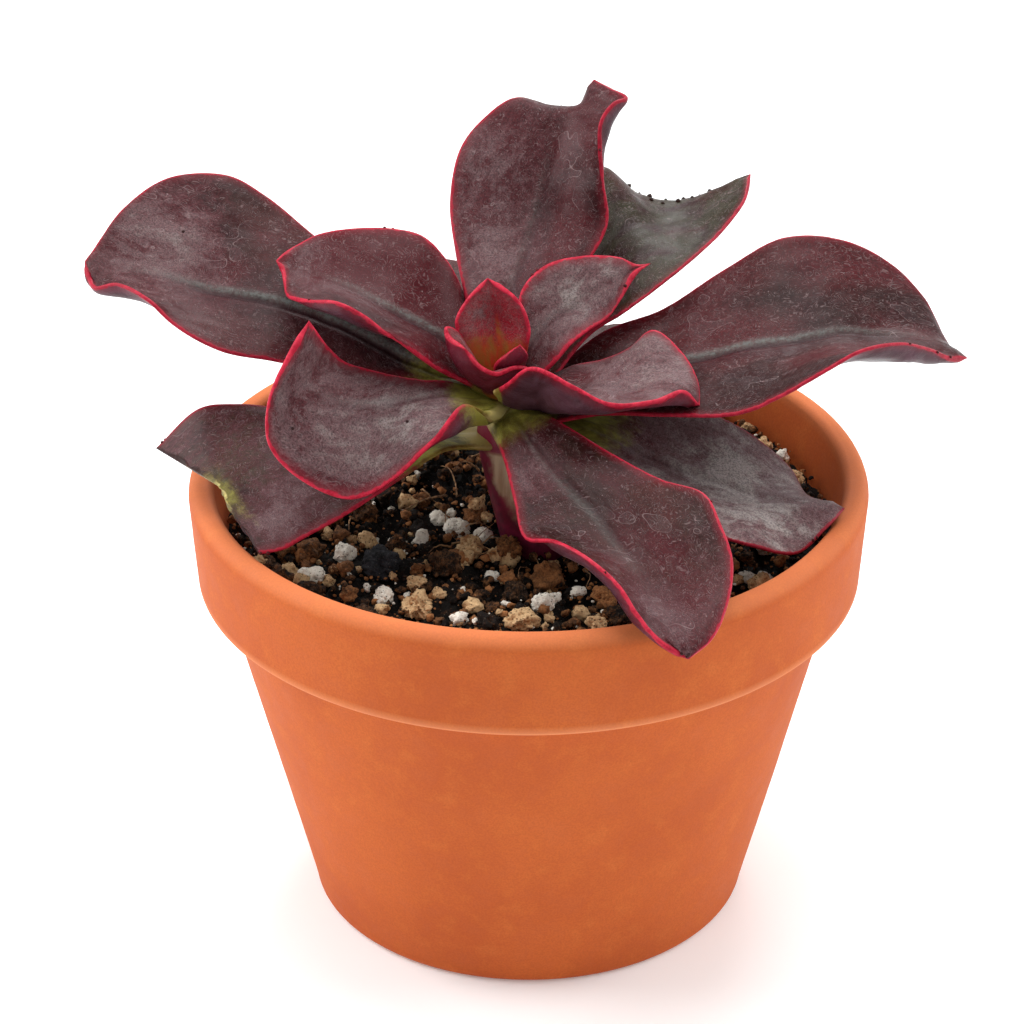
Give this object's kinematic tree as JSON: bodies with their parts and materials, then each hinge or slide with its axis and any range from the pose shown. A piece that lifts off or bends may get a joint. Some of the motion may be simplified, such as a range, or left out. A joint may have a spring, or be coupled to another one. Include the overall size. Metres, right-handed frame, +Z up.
{
  "type": "potted echeveria",
  "caption": "Wavy-leaved succulent rosette with dark red leaves and pink margins, on a short stem in a round terracotta pot of gritty soil.",
  "frame": {"origin": "centre of the pot's underside, on the surface that it stands on", "axes": "+Z up, -Y towards the front, +X to the right seen from the front"},
  "size_m": [0.1931, 0.1585, 0.178],
  "materials": {
    "terracotta": "matt unglazed fired clay",
    "potting_mix": "loose dark peat and bark, moist",
    "stem_skin": "smooth cream skin with magenta sides",
    "leaf": "fleshy leaf, dark burgundy with a waxy bloom and pink translucent margins",
    "inner_leaf": "young fleshy leaf, crimson with a waxy bloom",
    "perlite": "rough white expanded grain",
    "pumice": "rough porous tan grain",
    "bark": "dark damp bark chip",
    "charcoal": "matt charcoal lump"
  },
  "bodies": {
    "root": {"pot": "terracotta", "soil": "potting_mix", "stem": "stem_skin", "leaf_low_back": "leaf", "leaf_low_back_left": "leaf", "leaf_torn_left": "leaf", "leaf_right_low": "leaf", "leaf_front": "leaf", "leaf_far_left": "leaf", "leaf_far_right": "leaf", "leaf_upper_right_back": "leaf", "leaf_tall_back": "leaf", "leaf_left_front": "leaf", "leaf_upper_left": "leaf", "leaf_right_mid": "leaf", "leaf_right_up": "leaf", "leaf_inner_back": "inner_leaf", "leaf_inner_front": "inner_leaf", "leaf_bud": "inner_leaf", "perlite_01": "perlite", "perlite_02": "perlite", "perlite_03": "perlite", "perlite_04": "perlite", "perlite_05": "perlite", "perlite_06": "perlite", "perlite_07": "perlite", "perlite_08": "perlite", "pumice_01": "pumice", "pumice_02": "pumice", "pumice_03": "pumice", "pumice_04": "pumice", "pumice_05": "pumice", "pumice_06": "pumice", "pumice_07": "pumice", "pumice_08": "pumice", "bark_01": "bark", "bark_02": "bark", "bark_03": "bark", "bark_04": "bark", "charcoal_01": "charcoal"}
  },
  "joints": []
}
